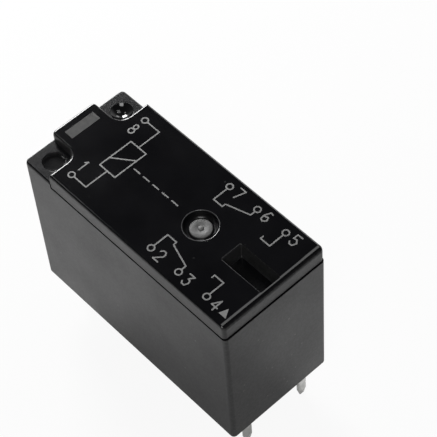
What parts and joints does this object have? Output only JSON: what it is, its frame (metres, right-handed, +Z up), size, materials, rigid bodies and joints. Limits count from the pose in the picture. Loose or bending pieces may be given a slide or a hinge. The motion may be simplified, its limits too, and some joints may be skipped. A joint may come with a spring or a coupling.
{
  "type": "pcb power relay",
  "caption": "Sealed block-shaped power relay for a circuit board: a coil and tilting armature drive changeover contacts through a sliding card, with solder pins below.",
  "frame": {"origin": "middle of the footprint on the seating plane, where the base rests on the circuit board", "axes": "+X along the length from the coil end to the contact end, +Y across the width to the rear row of pins, +Z up away from the board"},
  "size_m": [0.0286, 0.0128, 0.0243],
  "materials": {
    "cover_plastic": "fine matte moulded sides with a smoother top",
    "base_plastic": "satin moulded",
    "resin": "glossy cast resin",
    "bobbin_plastic": "glass-filled moulding",
    "copper_wire": "enamelled copper wire",
    "soft_iron": "nickel-plated iron",
    "spring_bronze": "rolled spring bronze",
    "contact_silver": "bright silver alloy",
    "tinned_terminal": "solder-dipped copper alloy",
    "card_plastic": "satin moulded"
  },
  "bodies": {
    "housing": {"cover": "cover_plastic", "base": "base_plastic", "sealing_resin": "resin", "yoke": "soft_iron", "core": "soft_iron", "bobbin": "bobbin_plastic", "winding": "copper_wire", "coil_terminal_front": "tinned_terminal", "coil_terminal_rear": "tinned_terminal", "hinge_spring": "spring_bronze", "nc_terminal_front": "tinned_terminal", "nc_contact_front": "contact_silver", "com_terminal_front": "tinned_terminal", "no_terminal_front": "tinned_terminal", "no_contact_front": "contact_silver", "nc_terminal_rear": "tinned_terminal", "nc_contact_rear": "contact_silver", "com_terminal_rear": "tinned_terminal", "no_terminal_rear": "tinned_terminal", "no_contact_rear": "contact_silver"},
    "armature": {"armature": "soft_iron"},
    "card": {"card": "card_plastic"},
    "front_spring": {"moving_spring_front": "spring_bronze", "moving_contact_front": "contact_silver"},
    "rear_spring": {"moving_spring_rear": "spring_bronze", "moving_contact_rear": "contact_silver"}
  },
  "joints": [
    {"name": "armature_hinge", "type": "hinge", "parent": "housing", "child": "armature", "pos_m": [-0.00001, 0, 0.01549], "axis": [0, -1, 0], "range_deg": [0, 3.2], "stiffness_Nm_per_rad": 0.002, "springref_deg": -3.44, "deforming": ["hinge_spring"]},
    {"name": "card_slide", "type": "slide", "parent": "housing", "child": "card", "axis": [1, 0, 0], "range_m": [0, 0.00039]},
    {"name": "front_spring_flex", "type": "hinge", "parent": "housing", "child": "front_spring", "pos_m": [0.00789, -0.00381, 0.0044], "axis": [0, 1, 0], "range_deg": [0, 5.1], "deforming": ["moving_spring_front"]},
    {"name": "rear_spring_flex", "type": "hinge", "parent": "housing", "child": "rear_spring", "pos_m": [0.00789, 0.00381, 0.0044], "axis": [0, 1, 0], "range_deg": [0, 5.1], "deforming": ["moving_spring_rear"]}
  ],
  "couplings": [
    {"joint": "card_slide", "follows": "armature_hinge", "m_per_rad": 0.006804},
    {"joint": "front_spring_flex", "follows": "armature_hinge", "ratio": 1.5793},
    {"joint": "rear_spring_flex", "follows": "armature_hinge", "ratio": 1.5793}
  ]
}
